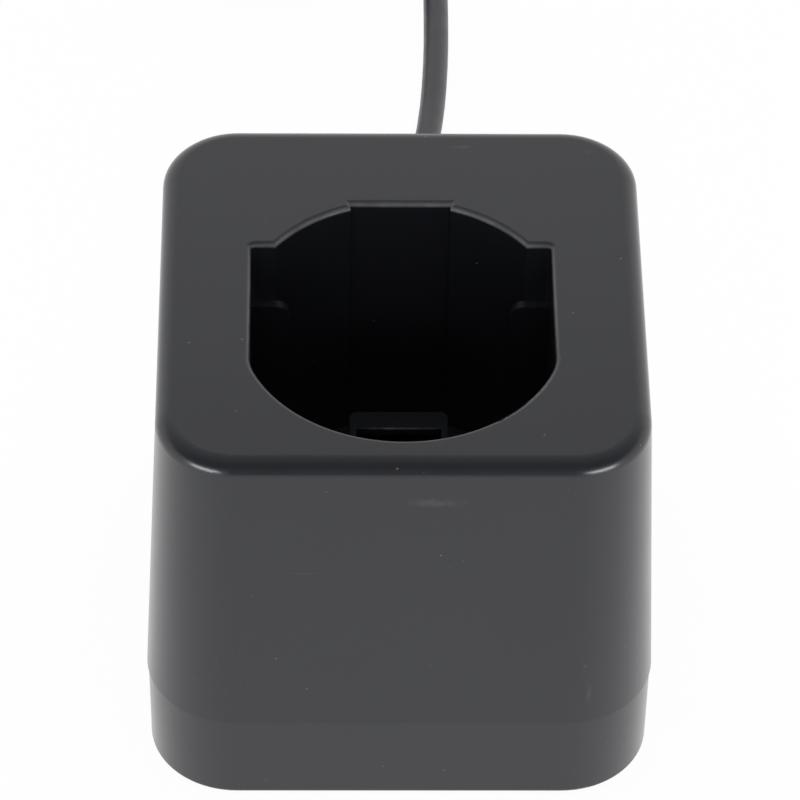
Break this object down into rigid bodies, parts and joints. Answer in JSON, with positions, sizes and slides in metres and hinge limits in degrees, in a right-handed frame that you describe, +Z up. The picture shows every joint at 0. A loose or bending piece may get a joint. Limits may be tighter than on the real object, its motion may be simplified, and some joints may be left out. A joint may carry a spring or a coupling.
{
  "type": "power tool battery charger",
  "caption": "Mains drop-in charger for stem-type power tool batteries: tapered tub with a deep keyed well, a contact pedestal with sprung studs and a thin mains lead.",
  "frame": {"origin": "centre of the charger's footprint on the surface it stands on, without the lead", "axes": "+Z up, -Y the front with the wide land of the well nearest to it, +Y the rear where the lead leaves, +X to the right seen from the front"},
  "size_m": [0.1219, 0.4247, 0.0894],
  "materials": {
    "housing_plastic": "fine matt moulded ABS",
    "carrier_plastic": "moulded glass-filled nylon",
    "foot_rubber": "matt rubber",
    "screw_steel": "zinc-plated",
    "contact_brass": "turned and plated",
    "spring_steel": "drawn wire",
    "board_laminate": "green solder mask",
    "terminal_plastic": "moulded",
    "socket_plastic": "moulded",
    "ferrite": "sintered",
    "copper_wire": "enamelled",
    "winding_tape": "polyester tape",
    "bobbin_plastic": "moulded",
    "capacitor_sleeve": "shrunk sleeve",
    "film_box": "moulded",
    "disc_coating": "dipped lacquer",
    "fuse_tube": "clear",
    "nickel": "nickel-plated",
    "sink_aluminium": "plain sheet",
    "chip_epoxy": "moulded epoxy",
    "resistor_lacquer": "lacquered",
    "cord_pvc": "extruded PVC",
    "relief_rubber": "moulded PVC",
    "wire_red": "extruded",
    "wire_black": "extruded",
    "wire_white": "extruded",
    "wire_brown": "extruded",
    "wire_blue": "extruded",
    "plug_plastic": "moulded PVC",
    "sleeve_plastic": "moulded",
    "tie_strap": "hook and loop"
  },
  "bodies": {
    "charger": {"upper_housing": "housing_plastic", "base_cover": "housing_plastic", "rubber_feet": "foot_rubber", "housing_screws": "screw_steel", "contact_carrier": "carrier_plastic", "carrier_screws": "screw_steel", "contact_board": "board_laminate", "contact_pads": "contact_brass", "contact_spring_positive": "spring_steel", "contact_spring_sense": "spring_steel", "contact_spring_negative": "spring_steel", "positive_lead": "wire_red", "sense_lead": "wire_white", "negative_lead": "wire_black", "lead_socket": "socket_plastic", "main_board": "board_laminate", "board_screws": "screw_steel", "mains_terminal": "terminal_plastic", "terminal_screws": "screw_steel", "fuse_glass": "fuse_tube", "fuse_caps": "nickel", "fuse_clips": "nickel", "varistor": "disc_coating", "suppression_capacitor": "film_box", "choke_core": "ferrite", "choke_windings": "copper_wire", "rectifier_diodes": "chip_epoxy", "bulk_capacitor": "capacitor_sleeve", "transformer_core": "ferrite", "transformer_bobbin": "bobbin_plastic", "transformer_winding": "winding_tape", "heat_sink": "sink_aluminium", "power_transistor": "chip_epoxy", "heat_sink_screw": "screw_steel", "control_chip": "chip_epoxy", "optocoupler": "chip_epoxy", "output_diode": "chip_epoxy", "output_capacitors": "capacitor_sleeve", "board_resistors": "resistor_lacquer", "barrier_capacitor": "disc_coating", "strain_relief": "relief_rubber", "cord_inner_end": "cord_pvc", "live_conductor": "wire_brown", "neutral_conductor": "wire_blue", "cord_clamp_bar": "carrier_plastic", "cord_clamp_screws": "screw_steel", "power_cord": "cord_pvc", "cord_coil": "cord_pvc", "coil_tie": "tie_strap", "cord_tail": "cord_pvc", "plug_body": "plug_plastic", "plug_pins": "nickel", "pin_sleeves": "sleeve_plastic"},
    "positive_stud": {"contact_stud_positive": "contact_brass"},
    "sense_stud": {"contact_stud_sense": "contact_brass"},
    "negative_stud": {"contact_stud_negative": "contact_brass"}
  },
  "joints": [
    {"name": "positive_stud_press", "type": "slide", "parent": "charger", "child": "positive_stud", "axis": [0, 0, -1], "range_m": [0, 0.0018], "stiffness_N_per_m": 300, "springref_m": -0.001, "deforming": ["contact_spring_positive"]},
    {"name": "sense_stud_press", "type": "slide", "parent": "charger", "child": "sense_stud", "axis": [0, 0, -1], "range_m": [0, 0.0018], "stiffness_N_per_m": 300, "springref_m": -0.001, "deforming": ["contact_spring_sense"]},
    {"name": "negative_stud_press", "type": "slide", "parent": "charger", "child": "negative_stud", "axis": [0, 0, -1], "range_m": [0, 0.0018], "stiffness_N_per_m": 300, "springref_m": -0.001, "deforming": ["contact_spring_negative"]}
  ]
}
